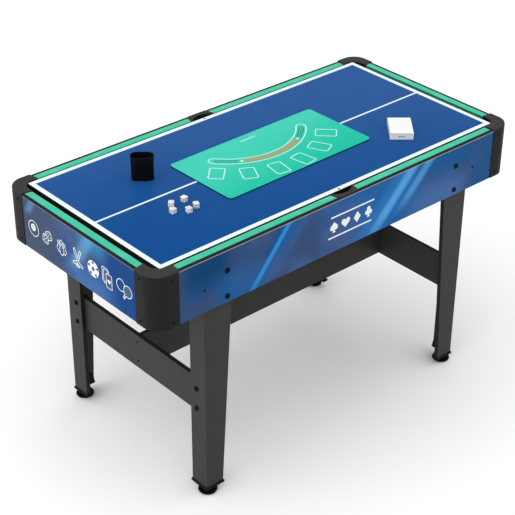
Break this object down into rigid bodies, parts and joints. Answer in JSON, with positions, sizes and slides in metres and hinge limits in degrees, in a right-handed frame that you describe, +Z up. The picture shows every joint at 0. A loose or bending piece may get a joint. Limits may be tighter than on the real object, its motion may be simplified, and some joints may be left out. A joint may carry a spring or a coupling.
{
  "type": "multi-game table",
  "caption": "Pool table on four leg frames, with a lift-out tennis board, card mat, dice, dice cup and a box of cards.",
  "frame": {"origin": "on the floor, under the middle of the table", "axes": "+X along the table towards its right end, -Y towards its front, +Z up"},
  "size_m": [1.2236, 0.6044, 0.782],
  "materials": {
    "printed_apron": "printed blue foil over fibreboard, satin",
    "black_edging": "black plastic edging, satin",
    "rail_cloth": "green napped cloth",
    "casting_plastic": "fine-grained black moulding",
    "leg_board": "dark grey foil over fibreboard, satin",
    "shoe_plastic": "black moulding",
    "foot_plastic": "black moulding",
    "cup_plastic": "black moulding",
    "bed_cloth": "green napped cloth glued on fibreboard",
    "bare_board": "bare fibreboard",
    "black_steel": "black coated steel",
    "zinc_steel": "zinc plated",
    "tennis_print": "blue printed foil with white lines over fibreboard",
    "mat_cloth": "printed green cloth",
    "cup_leather": "black imitation leather, stitched",
    "dice_plastic": "white, polished",
    "card_stock": "white coated card",
    "playing_cards": "stack of coated card"
  },
  "bodies": {
    "frame": {"apron_back": "printed_apron", "apron_front": "printed_apron", "apron_left": "printed_apron", "apron_right": "printed_apron", "bed_cleats": "bare_board", "centre_stretcher": "leg_board", "corner_casting_back_left": "casting_plastic", "corner_casting_back_right": "casting_plastic", "corner_casting_front_left": "casting_plastic", "corner_casting_front_right": "casting_plastic", "cross_beams": "leg_board", "cushion_back_left": "rail_cloth", "cushion_back_right": "rail_cloth", "cushion_front_left": "rail_cloth", "cushion_front_right": "rail_cloth", "cushion_left": "rail_cloth", "cushion_right": "rail_cloth", "end_stretcher_left": "leg_board", "end_stretcher_right": "leg_board", "frame_bolts": "black_steel", "frame_nuts": "zinc_steel", "frame_washers": "black_steel", "leg_face_back_left": "leg_board", "leg_face_back_right": "leg_board", "leg_face_front_left": "leg_board", "leg_face_front_right": "leg_board", "leg_shoe_back_left": "shoe_plastic", "leg_shoe_back_right": "shoe_plastic", "leg_shoe_front_left": "shoe_plastic", "leg_shoe_front_right": "shoe_plastic", "leg_side_back_left": "leg_board", "leg_side_back_right": "leg_board", "leg_side_front_left": "leg_board", "leg_side_front_right": "leg_board", "middle_castings": "casting_plastic", "pocket_cup_back_left": "cup_plastic", "pocket_cup_back_right": "cup_plastic", "pocket_cup_front_left": "cup_plastic", "pocket_cup_front_right": "cup_plastic", "pocket_cups_middle": "cup_plastic", "pool_bed": "bed_cloth", "rail_caps": "black_edging", "small_screws": "black_steel"},
    "leveller_front_left": {"leveller_front_left": "foot_plastic"},
    "leveller_front_right": {"leveller_front_right": "foot_plastic"},
    "leveller_back_left": {"leveller_back_left": "foot_plastic"},
    "leveller_back_right": {"leveller_back_right": "foot_plastic"},
    "tennis_board": {"tennis_board": "tennis_print", "board_rim": "black_edging"},
    "game_mat": {"game_mat": "mat_cloth"},
    "dice_cup": {"dice_cup": "cup_leather"},
    "die_1": {"die_1": "dice_plastic"},
    "die_2": {"die_2": "dice_plastic"},
    "die_3": {"die_3": "dice_plastic"},
    "die_4": {"die_4": "dice_plastic"},
    "die_5": {"die_5": "dice_plastic"},
    "card_box": {"card_box": "card_stock", "card_deck": "playing_cards"},
    "card_flap": {"card_flap": "card_stock"}
  },
  "joints": [
    {"name": "leveller_front_left_screw", "type": "slide", "parent": "frame", "child": "leveller_front_left", "axis": [0, 0, -1], "range_m": [0, 0.012]},
    {"name": "leveller_front_right_screw", "type": "slide", "parent": "frame", "child": "leveller_front_right", "axis": [0, 0, -1], "range_m": [0, 0.012]},
    {"name": "leveller_back_left_screw", "type": "slide", "parent": "frame", "child": "leveller_back_left", "axis": [0, 0, -1], "range_m": [0, 0.012]},
    {"name": "leveller_back_right_screw", "type": "slide", "parent": "frame", "child": "leveller_back_right", "axis": [0, 0, -1], "range_m": [0, 0.012]},
    {"name": "tennis_board_lift", "type": "slide", "parent": "frame", "child": "tennis_board", "axis": [0, 0, 1], "range_m": [0, 0.1]},
    {"name": "game_mat_lift", "type": "slide", "parent": "tennis_board", "child": "game_mat", "axis": [0, 0, 1], "range_m": [0, 0.05]},
    {"name": "dice_cup_lift", "type": "slide", "parent": "tennis_board", "child": "dice_cup", "axis": [0, 0, 1], "range_m": [0, 0.1]},
    {"name": "die_1_lift", "type": "slide", "parent": "tennis_board", "child": "die_1", "axis": [0, 0, 1], "range_m": [0, 0.05]},
    {"name": "die_2_lift", "type": "slide", "parent": "tennis_board", "child": "die_2", "axis": [0, 0, 1], "range_m": [0, 0.05]},
    {"name": "die_3_lift", "type": "slide", "parent": "tennis_board", "child": "die_3", "axis": [0, 0, 1], "range_m": [0, 0.05]},
    {"name": "die_4_lift", "type": "slide", "parent": "tennis_board", "child": "die_4", "axis": [0, 0, 1], "range_m": [0, 0.05]},
    {"name": "die_5_lift", "type": "slide", "parent": "tennis_board", "child": "die_5", "axis": [0, 0, 1], "range_m": [0, 0.05]},
    {"name": "card_box_lift", "type": "slide", "parent": "tennis_board", "child": "card_box", "axis": [0, 0, 1], "range_m": [0, 0.08]},
    {"name": "card_flap_hinge", "type": "hinge", "parent": "card_box", "child": "card_flap", "pos_m": [0.31149, -0.17609, 0.734], "axis": [-0.7547, 0.6561, 0], "range_deg": [0, 120]}
  ]
}
